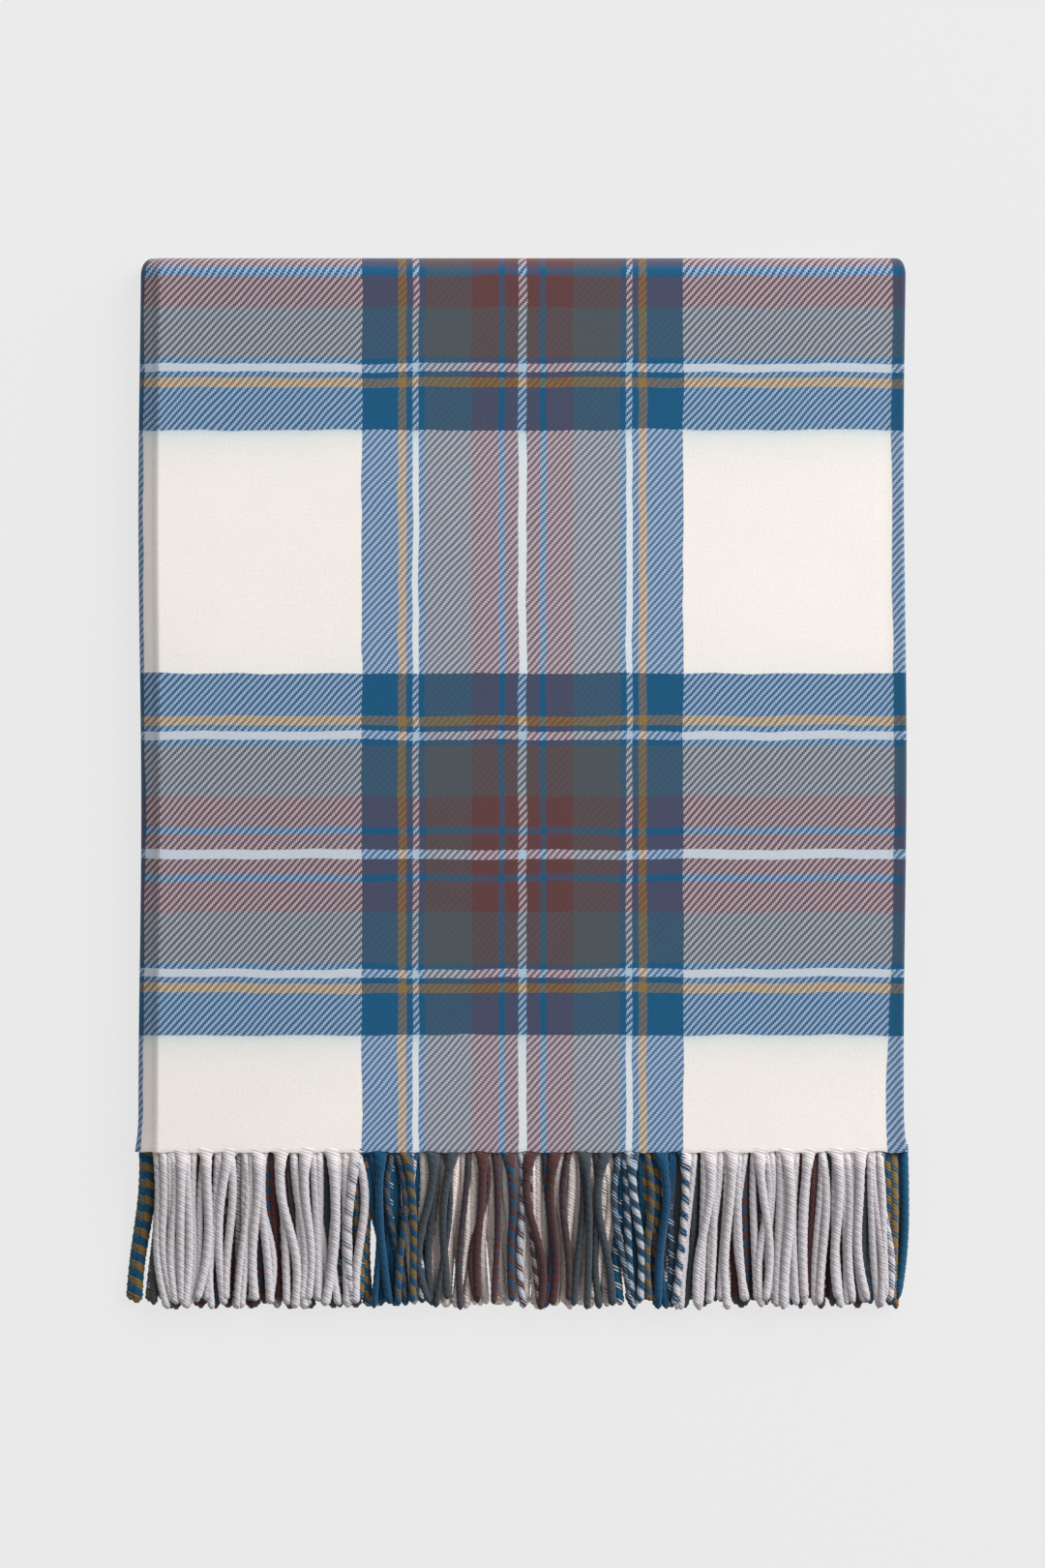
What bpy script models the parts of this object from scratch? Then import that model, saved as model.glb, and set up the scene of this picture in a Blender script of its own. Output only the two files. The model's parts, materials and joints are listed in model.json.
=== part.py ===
"""Folded tartan throw: a fringed cloth folded in thirds across and in thirds along.

Metres, +Z up. X runs across the folded throw, Y along it with the open fringe at -Y.
The underside rests on Z = 0 and the origin is at the middle of the footprint.
"""
import math

import bmesh
import bpy
from mathutils import Matrix, Vector

# ---- overall sizes -------------------------------------------------------
PACK_WIDTH = 0.4665        # across the folded throw
PANEL_LENGTH = 0.5450      # top fold to the cut end of the front section
FRINGE_LENGTH = 0.0970     # twisted tassels beyond the cloth end
CLOTH = 0.00245            # one layer of cloth
LAYER_GAP = 0.00030        # air between two layers

# ---- folding allowances --------------------------------------------------
SELVEDGE_SHORT = 0.0120    # how far each turned-under third stops short of the far side
BACK_SHORT = 0.0060        # how far the bottom fold stops short of the front cloth end
INNER_CLEAR = 0.0020       # inner fringe tips to the centre of the top fold
HINGE_OUT = 0.0084         # hinge line beyond the centre of the top fold
FOLD_STEPS = 12            # facets round each lengthwise fold

# ---- fringe --------------------------------------------------------------
TASSEL_PITCH = 0.0081
TASSEL_WIDTH = 0.0052
TASSEL_THINNER = 0.00025   # how much shallower a tassel is than the cloth
TIE_DEPTH = 0.0040         # last woven picks that carry the tassels
FRINGE_DROP = 0.0130       # how far the open fringe sags by its tips
SEAT_GAP = 0.00030         # fringe strip to cloth end

# ---- yarn runs in the face fringe, half widths from the middle -------------
MAROON_HALF = 0.0307
CHARCOAL_HALF = 0.0589
BLUE_HALF = 0.0972

# ---- what follows from them ----------------------------------------------
LAYER_STEP = CLOTH + LAYER_GAP
TASSEL_DEEP = CLOTH - TASSEL_THINNER
STRIP_DEPTH = 3 * CLOTH + 2 * LAYER_GAP       # thirds across make three layers
SECTION_STEP = STRIP_DEPTH + LAYER_GAP
HEIGHT = 3 * STRIP_DEPTH + 2 * LAYER_GAP      # thirds along make three sections
TOTAL_LENGTH = PANEL_LENGTH + FRINGE_LENGTH
HALF_W = PACK_WIDTH / 2
Y_TOP = TOTAL_LENGTH / 2
Y_CLOTH = Y_TOP - PANEL_LENGTH
Y_TIP = Y_CLOTH - FRINGE_LENGTH
TOP_OUT = HEIGHT / 2
Y_ROLL = Y_TOP - TOP_OUT
LOW_OUT = (2 * STRIP_DEPTH + LAYER_GAP) / 2
Y_LOW = Y_CLOTH + BACK_SHORT + LOW_OUT
Y_INNER_END = Y_ROLL - INNER_CLEAR - FRINGE_LENGTH
Z_INNER = SECTION_STEP
Z_FRONT = 2 * SECTION_STEP

COLOURS = {
    "tartan_cloth": (0.330, 0.365, 0.420, 1.0),
    "cream_yarn": (0.665, 0.640, 0.680, 1.0),
    "blue_yarn": (0.020, 0.115, 0.270, 1.0),
    "charcoal_yarn": (0.050, 0.062, 0.072, 1.0),
    "maroon_yarn": (0.080, 0.026, 0.034, 1.0),
}
ROUGHNESS = 0.9


def clear_file():
    for obj in list(bpy.data.objects):
        bpy.data.objects.remove(obj, do_unlink=True)
    for group in list(bpy.data.collections):
        bpy.data.collections.remove(group)


def make_material(name):
    mat = bpy.data.materials.new(name)
    mat.use_nodes = True
    shader = mat.node_tree.nodes["Principled BSDF"]
    shader.inputs["Base Color"].default_value = COLOURS[name]
    shader.inputs["Roughness"].default_value = ROUGHNESS
    shader.inputs["Metallic"].default_value = 0.0
    mat.diffuse_color = COLOURS[name]
    return mat


def link_mesh(name, bm, slot):
    bmesh.ops.recalc_face_normals(bm, faces=bm.faces[:])
    mesh = bpy.data.meshes.new(name)
    bm.to_mesh(mesh)
    bm.free()
    obj = bpy.data.objects.new(name, mesh)
    obj.data.materials.append(MATERIALS[slot])
    PART.objects.link(obj)
    return obj


def strip_outline(half_width, base, flip):
    """Outline in XZ of one cloth strip folded in thirds, as a single band.

    The band starts at the selvedge of one third, turns up round one side,
    crosses the middle third and turns round the other side to the last third.
    flip turns it over, so that the middle third lies underneath.
    """
    low = base
    mid = base + LAYER_STEP
    left = -half_width
    right = half_width
    tight_out = (CLOTH * 2 + LAYER_GAP) / 2
    tight_in = LAYER_GAP / 2
    wide_out = STRIP_DEPTH / 2
    wide_in = wide_out - CLOTH
    steps = 6
    outer = []
    inner = []
    # right side: middle layer up to the top layer
    centre_r = (right - tight_out, mid + CLOTH + LAYER_GAP / 2)
    # left side: bottom layer up to the top layer, round the middle one
    centre_l = (left + wide_out, base + STRIP_DEPTH / 2)
    mid_end = left + SELVEDGE_SHORT
    low_end = right - SELVEDGE_SHORT
    # outside face, from the middle layer's selvedge round to the bottom layer's
    outer.append((mid_end, mid))
    for i in range(steps + 1):
        a = -math.pi / 2 + math.pi * i / steps
        outer.append((centre_r[0] + tight_out * math.cos(a), centre_r[1] + tight_out * math.sin(a)))
    for i in range(steps + 1):
        a = math.pi / 2 + math.pi * i / steps
        outer.append((centre_l[0] + wide_out * math.cos(a), centre_l[1] + wide_out * math.sin(a)))
    outer.append((low_end, low))
    # inside face, back again
    inner.append((low_end, low + CLOTH))
    for i in range(steps + 1):
        a = -math.pi / 2 - math.pi * i / steps
        inner.append((centre_l[0] + wide_in * math.cos(a), centre_l[1] + wide_in * math.sin(a)))
    for i in range(steps + 1):
        a = math.pi / 2 - math.pi * i / steps
        inner.append((centre_r[0] + tight_in * math.cos(a), centre_r[1] + tight_in * math.sin(a)))
    inner.append((mid_end, mid + CLOTH))
    points = outer + inner
    if flip:
        middle = 2 * base + STRIP_DEPTH
        points = [(x, middle - z) for x, z in reversed(points)]
    return points


def outline_mesh(points, place):
    """Fill a closed outline and return the edit mesh with its one face."""
    curve = bpy.data.curves.new("outline", "CURVE")
    curve.dimensions = "2D"
    curve.fill_mode = "BOTH"
    spline = curve.splines.new("POLY")
    spline.points.add(len(points) - 1)
    for point, (a, b) in zip(spline.points, points):
        point.co = (a, b, 0.0, 1.0)
    spline.use_cyclic_u = True
    holder = bpy.data.objects.new("outline", curve)
    PART.objects.link(holder)
    depsgraph = bpy.context.evaluated_depsgraph_get()
    mesh = bpy.data.meshes.new_from_object(holder.evaluated_get(depsgraph))
    bm = bmesh.new()
    bm.from_mesh(mesh)
    bpy.data.objects.remove(holder, do_unlink=True)
    bpy.data.curves.remove(curve)
    bpy.data.meshes.remove(mesh)
    bmesh.ops.transform(bm, matrix=place, verts=bm.verts[:])
    bmesh.ops.remove_doubles(bm, verts=bm.verts[:], dist=0.00001)
    return bm


def standing(y):
    """Stands an XY outline up in the XZ plane at the given y."""
    return Matrix(((1, 0, 0, 0), (0, 0, -1, y), (0, 1, 0, 0), (0, 0, 0, 1)))


def cloth_section(name, base, flip, y_from, y_to, half_width):
    bm = outline_mesh(strip_outline(half_width, base, flip), standing(y_from))
    grown = bmesh.ops.extrude_face_region(bm, geom=bm.faces[:])
    moved = [v for v in grown["geom"] if isinstance(v, bmesh.types.BMVert)]
    bmesh.ops.translate(bm, vec=(0, y_to - y_from, 0), verts=moved)
    return link_mesh(name, bm, "tartan_cloth")


def cloth_fold(name, base, flip, centre_y, centre_z, turn, half_width):
    """Turns the strip through half a circle about a line across the throw."""
    bm = outline_mesh(strip_outline(half_width, base, flip), standing(centre_y))
    ring = bm.verts[:] + bm.edges[:] + bm.faces[:]
    bmesh.ops.spin(bm, geom=ring, cent=Vector((0, centre_y, centre_z)), axis=Vector((1, 0, 0)),
                   dvec=Vector((0, 0, 0)), angle=turn, steps=FOLD_STEPS, use_duplicate=False)
    return link_mesh(name, bm, "tartan_cloth")


def yarn_run(x):
    """Name and yarn slot of the face tassels at a distance across from the middle of the throw."""
    side = "left" if x < 0 else "right"
    if abs(x) < MAROON_HALF:
        return "fringe_face_maroon", "maroon_yarn"
    if abs(x) < CHARCOAL_HALF:
        return f"fringe_face_charcoal_{side}", "charcoal_yarn"
    if abs(x) < BLUE_HALF:
        return f"fringe_face_blue_{side}", "blue_yarn"
    return f"fringe_face_cream_{side}", "cream_yarn"


def comb_outline(centres, y_root, y_tip):
    """A tie strip with one round-tipped tassel at every centre, as one outline."""
    way = 1 if y_tip > y_root else -1
    half = TASSEL_WIDTH / 2
    shoulder = y_root + way * TIE_DEPTH
    side = (TASSEL_PITCH - SEAT_GAP) / 2
    points = [(centres[0] - side, y_root), (centres[0] - side, shoulder)]
    for x in centres:
        points.append((x - half, shoulder))
        for i in range(5):
            a = math.pi * i / 4
            points.append((x - half * math.cos(a), y_tip - way * half + way * half * math.sin(a)))
        points.append((x + half, shoulder))
    points.append((centres[-1] + side, shoulder))
    points.append((centres[-1] + side, y_root))
    return points


def fringe_comb(name, centres, base, y_root, y_tip, drop, slot):
    """A comb of tassels in one colour; drop lowers it evenly towards its tips."""
    z = base + (CLOTH - TASSEL_DEEP) / 2
    slope = drop / (y_root - y_tip)
    place = Matrix(((1, 0, 0, 0), (0, 1, 0, 0), (0, slope, 1, z - slope * y_root), (0, 0, 0, 1)))
    bm = outline_mesh(comb_outline(centres, y_root, y_tip), place)
    grown = bmesh.ops.extrude_face_region(bm, geom=bm.faces[:])
    moved = [v for v in grown["geom"] if isinstance(v, bmesh.types.BMVert)]
    bmesh.ops.translate(bm, vec=(0, 0, TASSEL_DEEP), verts=moved)
    return link_mesh(name, bm, slot)


def tassel_centres(x_from, x_to):
    count = int((x_to - x_from) / TASSEL_PITCH)
    start = (x_from + x_to) / 2 - (count - 1) * TASSEL_PITCH / 2
    return [start + i * TASSEL_PITCH for i in range(count)]


clear_file()
PART = bpy.data.collections.new("folded_throw")
bpy.context.scene.collection.children.link(PART)
MATERIALS = {name: make_material(name) for name in COLOURS}

# ---- cloth: three sections and the two folds that join them ---------------
cloth_section("back_section", 0.0, True, Y_LOW + LAYER_GAP, Y_ROLL - LAYER_GAP, HALF_W)
cloth_section("inner_section", Z_INNER, False, Y_LOW + LAYER_GAP, Y_INNER_END, HALF_W)
cloth_section("front_section", Z_FRONT, False, Y_CLOTH, Y_ROLL - LAYER_GAP, HALF_W)
cloth_fold("top_fold", 0.0, True, Y_ROLL, TOP_OUT, math.pi, HALF_W)
cloth_fold("bottom_fold", 0.0, True, Y_LOW, LOW_OUT, -math.pi, HALF_W)

# ---- fringe: three rows on the front section, three inside -----------------
rows = (
    ("under", 0, -HALF_W, HALF_W - SELVEDGE_SHORT),
    ("middle", 1, -HALF_W + SELVEDGE_SHORT, HALF_W),
    ("face", 2, -HALF_W, HALF_W),
)
for label, level, x_from, x_to in rows:
    runs = {("fringe_" + label, "cream_yarn"): tassel_centres(x_from, x_to)}
    if label == "face":
        runs = {}
        for x in tassel_centres(x_from, x_to):
            runs.setdefault(yarn_run(x), []).append(x)
    for (name, slot), centres in runs.items():
        fringe_comb(name, centres, Z_FRONT + level * LAYER_STEP,
                    Y_CLOTH - SEAT_GAP, Y_TIP, FRINGE_DROP, slot)
    centres = tassel_centres(x_from + TASSEL_WIDTH / 2, x_to - TASSEL_WIDTH / 2)
    fringe_comb(f"inner_fringe_{label}", centres, Z_INNER + level * LAYER_STEP,
                Y_INNER_END + SEAT_GAP, Y_INNER_END + FRINGE_LENGTH, 0.0, "cream_yarn")

# ---- the empty that carries the opening front section ----------------------
hinge = bpy.data.objects.new("front_hinge", None)
hinge.location = (0.0, Y_ROLL + HINGE_OUT, TOP_OUT)
PART.objects.link(hinge)
for obj in list(PART.objects):
    if obj.name == "front_section" or obj.name.startswith("fringe_"):
        obj.parent = hinge
        obj.matrix_parent_inverse = Matrix.Translation(-hinge.location)
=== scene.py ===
# %% [markdown]
# # A tartan throw, folded flat
# The piece is a fringed wool throw. It has been folded in thirds across and in thirds along, and it lies
# on a pale table with its open fringe towards the front. The work goes as a maker would go: measure the
# space, cut one flat cloth, fold it, twist the fringe, dye it all from one stripe order, then light it.

# %% Open the frame and measure the space
import json
import math

import bmesh
import bpy
import numpy as np
from mathutils import Matrix, Vector

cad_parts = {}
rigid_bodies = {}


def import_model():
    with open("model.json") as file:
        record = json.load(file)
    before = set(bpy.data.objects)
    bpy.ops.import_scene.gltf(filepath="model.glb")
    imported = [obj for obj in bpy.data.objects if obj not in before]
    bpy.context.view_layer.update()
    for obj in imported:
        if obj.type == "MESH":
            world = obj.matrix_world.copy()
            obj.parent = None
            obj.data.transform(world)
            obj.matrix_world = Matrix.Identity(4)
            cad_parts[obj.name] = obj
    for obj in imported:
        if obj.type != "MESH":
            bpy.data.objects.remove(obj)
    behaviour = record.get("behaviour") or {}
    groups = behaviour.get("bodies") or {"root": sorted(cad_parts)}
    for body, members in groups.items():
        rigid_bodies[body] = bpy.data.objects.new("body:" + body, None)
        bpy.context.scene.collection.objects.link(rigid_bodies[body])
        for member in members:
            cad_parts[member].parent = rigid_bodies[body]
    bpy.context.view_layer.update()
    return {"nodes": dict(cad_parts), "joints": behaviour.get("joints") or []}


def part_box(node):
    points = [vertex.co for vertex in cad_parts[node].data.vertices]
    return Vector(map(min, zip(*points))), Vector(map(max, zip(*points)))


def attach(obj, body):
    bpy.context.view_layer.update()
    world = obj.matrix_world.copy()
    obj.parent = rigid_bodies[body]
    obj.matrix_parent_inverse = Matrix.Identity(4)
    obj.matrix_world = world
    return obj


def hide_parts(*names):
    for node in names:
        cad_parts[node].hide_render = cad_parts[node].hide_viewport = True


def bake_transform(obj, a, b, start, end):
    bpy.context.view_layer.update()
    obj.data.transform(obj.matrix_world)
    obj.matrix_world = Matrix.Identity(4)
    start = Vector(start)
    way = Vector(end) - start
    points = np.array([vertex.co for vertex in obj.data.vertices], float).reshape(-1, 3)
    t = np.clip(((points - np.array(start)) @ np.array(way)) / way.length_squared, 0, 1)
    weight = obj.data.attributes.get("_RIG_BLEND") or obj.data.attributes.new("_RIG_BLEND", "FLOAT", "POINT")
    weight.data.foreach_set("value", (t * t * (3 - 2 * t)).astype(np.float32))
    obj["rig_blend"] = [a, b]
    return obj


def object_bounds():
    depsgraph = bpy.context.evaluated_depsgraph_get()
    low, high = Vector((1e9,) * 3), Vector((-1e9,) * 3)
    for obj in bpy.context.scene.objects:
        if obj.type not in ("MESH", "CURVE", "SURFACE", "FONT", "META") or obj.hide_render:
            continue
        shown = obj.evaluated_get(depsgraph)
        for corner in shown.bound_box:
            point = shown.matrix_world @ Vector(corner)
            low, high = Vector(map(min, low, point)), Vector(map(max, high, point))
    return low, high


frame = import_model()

# %% [markdown]
# ## Sizes
# The folded lengths give the width, the thickness of the pile and the lines the cloth turns round.
# Everything else follows from one layer of cloth and the sliver of air between two layers.

# %% Sizes of the fold
front_low, front_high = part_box("front_section")
inner_low, inner_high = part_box("inner_section")
top_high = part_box("top_fold")[1]
bottom_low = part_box("bottom_fold")[0]

half_width = front_high.x
pile_height = front_high.z
strip_depth = front_high.z - front_low.z
layer_gap = front_low.z - inner_high.z
cloth_depth = (strip_depth - 2 * layer_gap) / 3
layer_step = cloth_depth + layer_gap
y_cloth_end = front_low.y
y_top_turn = top_high.y - pile_height / 2
turn_in = pile_height / 2 - strip_depth
low_turn_out = (2 * strip_depth + layer_gap) / 2
y_low_turn = bottom_low.y + low_turn_out
y_inner_end = inner_high.y
selvedge_short = 0.012
print("layer", round(cloth_depth * 1000, 2), "mm, pile", round(pile_height * 1000, 2), "mm")

# %% Lengths along the flat cloth
turn_middle = turn_in + strip_depth / 2
low_turn_middle = layer_gap / 2 + strip_depth / 2
run_front = y_top_turn - y_cloth_end
run_top = math.pi * turn_middle
run_back = y_top_turn - y_low_turn
run_low = math.pi * low_turn_middle
run_inner = y_inner_end - y_low_turn
cloth_length = run_front + run_top + run_back + run_low + run_inner

tight = layer_step / 2
wide = layer_step
x_tight = half_width - cloth_depth - layer_gap / 2
x_wide = half_width - strip_depth / 2
run_right = x_tight + math.pi * tight + x_tight + half_width - selvedge_short
run_left = x_wide + math.pi * wide + x_wide + half_width - selvedge_short

# %% [markdown]
# ## Folding
# A flat cloth has a place across (over the warp) and a place along (up the weft). Folding in thirds across
# turns the first into a place across the strip and a height inside it. Folding in thirds along then carries
# that strip up the front, round the top, down the back, round the bottom and up the inside.

# %% Fold across
def fold_across(across):
    """Place across the strip, and height of the cloth's middle inside the strip."""
    top_row = 2 * layer_step + cloth_depth / 2
    x = across.copy()
    h = np.full_like(across, top_row)
    turn_r = (across > x_tight) & (across <= x_tight + math.pi * tight)
    a = (across[turn_r] - x_tight) / tight
    x[turn_r] = x_tight + tight * np.sin(a)
    h[turn_r] = top_row - tight + tight * np.cos(a)
    after_r = across > x_tight + math.pi * tight
    x[after_r] = x_tight - (across[after_r] - x_tight - math.pi * tight)
    h[after_r] = top_row - 2 * tight
    turn_l = (across < -x_wide) & (across >= -x_wide - math.pi * wide)
    a = (-across[turn_l] - x_wide) / wide
    x[turn_l] = -x_wide - wide * np.sin(a)
    h[turn_l] = top_row - wide + wide * np.cos(a)
    after_l = across < -x_wide - math.pi * wide
    x[after_l] = -x_wide + (-across[after_l] - x_wide - math.pi * wide)
    h[after_l] = top_row - 2 * wide
    return x, h


selvedges = fold_across(np.array([run_right, -run_left]))[0]
print("selvedges come to", [round(x * 1000, 1) for x in selvedges], "mm from the middle")

# %% Fold along
def fold_along(along, h):
    """Place along the throw and height above the table, for a height h inside the strip."""
    y = np.zeros_like(along)
    z = np.zeros_like(along)
    s = along
    front = s <= run_front
    y[front] = y_cloth_end + s[front]
    z[front] = pile_height - strip_depth + h[front]
    s1 = s - run_front
    top = (s1 > 0) & (s1 <= run_top)
    a = s1[top] / turn_middle
    y[top] = y_top_turn + (turn_in + h[top]) * np.sin(a)
    z[top] = pile_height / 2 + (turn_in + h[top]) * np.cos(a)
    s2 = s1 - run_top
    back = (s2 > 0) & (s2 <= run_back)
    y[back] = y_top_turn - s2[back]
    z[back] = strip_depth - h[back]
    s3 = s2 - run_back
    low = (s3 > 0) & (s3 <= run_low)
    a = s3[low] / low_turn_middle
    y[low] = y_low_turn - (layer_gap / 2 + h[low]) * np.sin(a)
    z[low] = low_turn_out - (layer_gap / 2 + h[low]) * np.cos(a)
    s4 = s3 - run_low
    inner = s4 > 0
    y[inner] = y_low_turn + s4[inner]
    z[inner] = inner_low.z + h[inner]
    return y, z


two_ends = fold_along(np.array([0.0, cloth_length]), np.array([0.0, 0.0]))[0]
print("the two ends come to", [round(y * 1000, 1) for y in two_ends], "mm")

# %% [markdown]
# ## How the pile settles
# Each turned-under third stops a finger's width short of the far side, so the layers above sink there.
# That is what makes the soft crease down the left side and the rounder edge down the right.

# %% Let the pile settle
# how far each of the nine layers sinks at the left and at the right, in layers
row_heights = [cloth_depth / 2 + i * layer_step for i in range(9)]
left_sink = [0, 0.5, 1, 1, 1.5, 2, 2, 2.5, 3]
right_sink = [0, 0, 1, 1, 2, 2, 2, 3, 3]
left_give = 0.95
right_give = 0.14
# the left crease lies at this share of the empty strip, and most of the drop is outside it
crease_at = 0.86
crease_drop = 0.24
right_start = 1.15
right_fall = 0.8
# slow waves: radians a metre across, radians a metre along, start
slow_waves = [(21, 9, 0.6), (-13, 24, 2.1), (37, -15, 4.0)]
wave_height = 0.00022


def smooth_step(t):
    t = np.clip(t, 0, 1)
    return t * t * (3 - 2 * t)


def settle(x, y, z):
    """The heights after the pile has sunk where layers are missing, with slow waves in every layer."""
    from_left = (x + half_width) / selvedge_short
    from_right = (half_width - x) / selvedge_short
    left = np.interp(from_left, [0, crease_at, 1.0], [1, crease_drop, 0])
    right = smooth_step(right_start - from_right * right_fall)
    drop = left * np.interp(z, row_heights, left_sink) * left_give
    drop = drop + right * np.interp(z, row_heights, right_sink) * right_give
    wave = sum(np.sin(x * per_x + y * per_y + start) for per_x, per_y, start in slow_waves)
    return z - drop * layer_step + wave * wave_height * z / pile_height


print("left edge sinks", round(left_give * left_sink[-1] * layer_step * 1000, 1), "mm")

# %% Shape of the two sides
side_wander = 0.0009
left_outward = 0.0004
wander_waves = 17
wander_lag = 1.3
wander_power = 6
corner_across = 0.016
corner_along = 0.011
corner_round = 0.0065
open_spread = 0.0024
open_reach = 0.022


def side_shape(x, y):
    """Sideways drift of the folded sides, the rounded top corners and the spread at the open end."""
    wander = side_wander * np.sin(y * wander_waves + wander_lag * np.sign(x)) + left_outward * (x < 0)
    wander = wander * (np.abs(x) / half_width) ** wander_power
    near_side = np.clip((np.abs(x) - half_width + corner_across) / corner_across, 0, 1)
    near_top = np.clip((y - top_high.y + corner_along) / corner_along, 0, 1)
    rounded = (1 - np.sqrt(1 - near_top ** 2)) * near_side * corner_round
    spread = open_spread * near_side * np.clip(1 - (y - y_cloth_end) / open_reach, 0, 1) ** 2
    return np.sign(x) * (wander - rounded + spread)


print("sides wander up to", side_wander * 1000, "mm and spread", open_spread * 1000, "mm at the open end")

# %% [markdown]
# ## Cutting and folding the cloth
# The cloth is cut as one flat grid, closer where it turns or creases. Every corner of the grid keeps its
# flat place as a map, so that the stripes later run round the folds as they do on the loom.

# %% Spacing of the flat cloth's grid
def graded(stops):
    """Grid places along one direction from (place, step after it) stops."""
    places = []
    for (start, step), (end, _) in zip(stops, stops[1:]):
        count = max(1, round((end - start) / step))
        places += [start + (end - start) * i / count for i in range(count)]
    return np.array(places + [stops[-1][0]])


open_step = 0.012
across_places = graded([
    (-run_left, open_step), (-x_wide - math.pi * wide - 0.002, 0.0009), (-x_wide, 0.002),
    (-half_width + crease_at * selvedge_short, 0.0017), (-half_width + selvedge_short, 0.001),
    (-half_width + selvedge_short + 0.003, 0.0045), (half_width - 0.03, 0.002),
    (x_tight, 0.0006), (x_tight + math.pi * tight, open_step), (run_right, open_step)])
top_start = run_front
top_end = top_start + run_top
low_start = top_end + run_back
along_places = graded([
    (0.0, 0.0030), (0.012, 0.0090), (top_start - 0.01, 0.0033), (top_start, run_top / 22),
    (top_end, 0.003), (top_end + 0.01, open_step), (low_start - 0.004, 0.004),
    (low_start, run_low / 12), (low_start + run_low, open_step), (cloth_length, open_step)])
print("grid", len(across_places), "x", len(along_places))

# %% Cut the cloth flat
def cloth_grid(name, columns, rows):
    """A flat grid with its flat place kept as the map called cloth, in metres."""
    bm = bmesh.new()
    bmesh.ops.create_grid(bm, x_segments=len(columns) - 1, y_segments=len(rows) - 1, size=0.5)
    cloth_map = bm.loops.layers.uv.new("cloth")
    for vert in bm.verts:
        i = round((vert.co.x + 0.5) * (len(columns) - 1))
        j = round((vert.co.y + 0.5) * (len(rows) - 1))
        vert.co = (columns[i], rows[j], 0.0)
    for face in bm.faces:
        for loop in face.loops:
            loop[cloth_map].uv = loop.vert.co.xy
    mesh = bpy.data.meshes.new(name)
    bm.to_mesh(mesh)
    bm.free()
    obj = bpy.data.objects.new(name, mesh)
    bpy.context.scene.collection.objects.link(obj)
    return obj


throw = cloth_grid("throw_cloth", across_places, along_places)
print("cloth faces before thickness:", len(throw.data.polygons))

# %% Fold it, and let the cut end ripple
edge_ripple = 0.0004
ripple_reach = 0.008
ripple_waves = [(413, 0.0), (207, 1.0)]
flat = np.empty(len(throw.data.vertices) * 3)
throw.data.vertices.foreach_get("co", flat)
flat = flat.reshape(-1, 3)
across, along = flat[:, 0], flat[:, 1]
x, h = fold_across(across)
y, z = fold_along(along, h)
z = settle(x, y, z)
x = x + side_shape(x, y)
uneven = sum(np.sin(across * waves + start) for waves, start in ripple_waves)
y = y + uneven * edge_ripple * np.clip(1 - along / ripple_reach, 0, 1)
throw.data.vertices.foreach_set("co", np.column_stack([x, y, z]).ravel())
for polygon in throw.data.polygons:
    polygon.use_smooth = True
print("folded to", round(np.ptp(x) * 1000, 1), "x", round(np.ptp(y) * 1000, 1), "mm")

# %% Give the cloth its thickness
layer_clearance = 0.0002
edge_round = 0.0006
thick = throw.modifiers.new("cloth thickness", "SOLIDIFY")
thick.thickness = cloth_depth - layer_clearance
thick.offset = 0.0
thick.use_rim = True
rounded = throw.modifiers.new("soft cut edge", "BEVEL")
rounded.width = edge_round
rounded.segments = 2
rounded.limit_method = "ANGLE"
rounded.angle_limit = math.radians(60)
print("cloth thickness", round(thick.thickness * 1000, 2), "mm")

# %% Let the cloth bend at the top fold
# A bend between two points goes by height, and the inner section lies at the same heights as the roll. So
# the shares are set again, by how much of the roll a place on the flat cloth has passed.
hinge = frame["joints"][0]
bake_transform(throw, hinge["parent"], hinge["child"], (0, y_top_turn, 0), (0, y_top_turn, pile_height))
bend_share = throw.data.attributes["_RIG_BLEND"]
turned = smooth_step(1.0 - (along - run_front) / run_top)
bend_share.data.foreach_set("value", turned.astype(np.float32))
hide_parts("front_section", "inner_section", "back_section", "top_fold", "bottom_fold")
print("places that turn with the front:", int((turned == 1.0).sum()), "of", len(turned))

# %% [markdown]
# ## The fringe
# A tassel is two plies twisted together. One straight tassel is drawn up from a two-lobed ring, turned a
# little at every step; every tassel in a row is that one, sagging, bowing and leaning its own way.

# %% Sizes of the fringe
fringe_length = -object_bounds()[0].y + y_cloth_end
# a ply climbs this far in half a turn, and the steps are closer towards the root
ply_rise = 0.0050
root_finer = 1.25
turns_in_tassel = fringe_length / (2 * ply_rise)
# the cloth runs into every other face tassel, and leaves a round arch between two of them
bulge_pitch = 0.0152
arch_radius = 0.0038
neck_length = 0.012
fan_length = 0.011
plain_end = 0.014
# every tassel starts a little way in from the cloth's end, and the plain ones lower, under the cloth
root_tuck = 0.0045
tuck_drop = 0.0022
# lowest middle of a tip, which keeps its yarn above the table
lowest_tip = 0.0042
print("fringe", round(fringe_length * 1000, 1), "mm,", round(turns_in_tassel, 1), "turns")

# %% Stripe lines that the fringe shares with the cloth
# tassels inside the coloured band are looser and finer than the cream ones outside it
band_edge = 0.1
# the cream starts here; the cloth is drawn out a little beyond it at the left and pulled at the lower right
cream_from = 0.0972
left_stretch = 0.0325
right_pull = 0.0035
pull_from = 0.15
pull_to = 0.22
# the turned-under thirds don't lie quite square, so their stripes come out to one side
askew = {"middle": 0.0, "right": 0.008, "left": -0.010}


def yarn_place(place, third):
    """Where across the flat cloth a tassel's yarn comes from."""
    on_face = place + max(-cream_from - place, 0.0) * left_stretch
    on_face += right_pull * np.clip((place - pull_from) / (pull_to - pull_from), 0, 1)
    on_cloth = {"middle": on_face, "right": 2 * half_width - place, "left": -2 * half_width - place}
    return on_cloth[third] + askew[third]


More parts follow.
